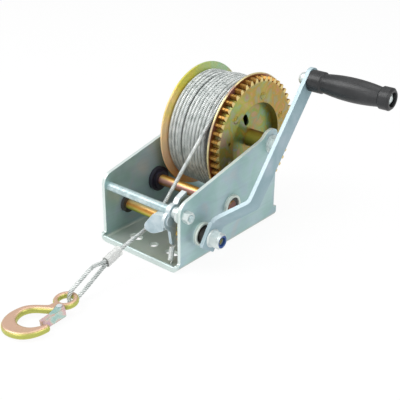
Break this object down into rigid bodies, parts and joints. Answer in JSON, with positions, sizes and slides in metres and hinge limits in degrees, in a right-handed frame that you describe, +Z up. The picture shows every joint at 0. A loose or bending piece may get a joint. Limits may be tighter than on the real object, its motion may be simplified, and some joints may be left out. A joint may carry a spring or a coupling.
{
  "type": "drum winch",
  "caption": "Hand winch: bent sheet frame, geared wire-rope drum, intermediate and crank shafts, two-way pawl, joggled crank with turning grip, and a rope end with a latched hook.",
  "frame": {"origin": "middle of the base plate, on its underside", "axes": "+X along the shafts to the crank side, -Y to the front where the rope leaves, +Z up"},
  "size_m": [0.2781, 0.433, 0.2009],
  "materials": {
    "clear_zinc": "clear zinc plated, satin",
    "yellow_zinc": "yellow chromated zinc, iridescent",
    "hook_zinc": "yellow chromated zinc over a forging",
    "black_plastic": "moulded, satin",
    "black_grip": "moulded, satin",
    "blue_nylon": "nylon",
    "wire_rope": "galvanised strands",
    "ferrule_metal": "crimped",
    "clear_plastic": "clear shrunk sleeve"
  },
  "bodies": {
    "frame": {"winch_frame": "clear_zinc", "tie_rod": "clear_zinc", "tie_rod_nut": "clear_zinc", "pawl_spacer": "clear_zinc", "pawl_clip": "clear_zinc", "drum_axle": "clear_zinc", "axle_nut": "clear_zinc", "axle_washers": "clear_zinc", "axle_sleeve": "yellow_zinc", "crank_bush_left": "black_plastic", "crank_bush_right": "black_plastic", "intermediate_bush_left": "black_plastic", "intermediate_bush_right": "black_plastic", "pawl_spring": "clear_zinc", "rope_last_turns": "wire_rope", "rope_free": "wire_rope", "rope_loop": "wire_rope", "ferrule": "ferrule_metal", "ferrule_sleeve": "clear_plastic"},
    "drum": {"drum_barrel": "yellow_zinc", "drum_left_flange": "yellow_zinc", "drum_right_flange": "yellow_zinc", "drum_gear": "yellow_zinc", "gear_rivets": "yellow_zinc", "rope_core": "wire_rope", "rope_winding": "wire_rope"},
    "intermediate": {"intermediate_shaft": "yellow_zinc", "intermediate_pinion": "yellow_zinc", "intermediate_gear": "yellow_zinc", "intermediate_clip": "yellow_zinc"},
    "crank": {"crank_shaft": "yellow_zinc", "crank_clip": "yellow_zinc", "crank_pinion": "yellow_zinc", "ratchet_wheel": "yellow_zinc", "crank_collar": "black_plastic", "crank_arm": "clear_zinc", "crank_nut": "clear_zinc", "nylon_ring": "blue_nylon", "grip_bolt": "clear_zinc", "grip_nut": "clear_zinc"},
    "grip": {"grip": "black_grip"},
    "pawl": {"pawl": "clear_zinc"},
    "hook": {"hook": "hook_zinc", "latch_pin": "hook_zinc"},
    "latch": {"latch": "hook_zinc"}
  },
  "joints": [
    {"name": "drum_spin", "type": "hinge", "parent": "frame", "child": "drum", "pos_m": [0, 0.07281, 0.1014], "axis": [1, 0, 0], "continuous": true},
    {"name": "intermediate_spin", "type": "hinge", "parent": "frame", "child": "intermediate", "pos_m": [0, 0, 0.0485], "axis": [1, 0, 0], "continuous": true},
    {"name": "crank_spin", "type": "hinge", "parent": "frame", "child": "crank", "pos_m": [0, -0.05206, 0.03416], "axis": [1, 0, 0], "continuous": true},
    {"name": "grip_spin", "type": "hinge", "parent": "crank", "child": "grip", "pos_m": [0, 0.07452, 0.18771], "axis": [1, 0, 0], "continuous": true},
    {"name": "pawl_tilt", "type": "hinge", "parent": "frame", "child": "pawl", "pos_m": [0, -0.0786, 0.0653], "axis": [1, 0, 0], "range_deg": [-7, 7], "stiffness_Nm_per_rad": 0.1},
    {"name": "hook_swing", "type": "hinge", "parent": "frame", "child": "hook", "pos_m": [0.0185, -0.2125, 0.0094], "axis": [-0.0175, -0.0675, 0.9976], "range_deg": [-40, 40]},
    {"name": "latch_hinge", "type": "hinge", "parent": "hook", "child": "latch", "pos_m": [0.02654, -0.22736, 0.00854], "axis": [-0.0175, -0.0675, 0.9976], "range_deg": [-35, 0], "stiffness_Nm_per_rad": 0.03, "springref_deg": 11.46}
  ],
  "couplings": [
    {"joint": "intermediate_spin", "follows": "drum_spin", "ratio": -4},
    {"joint": "crank_spin", "follows": "drum_spin", "ratio": 8}
  ]
}
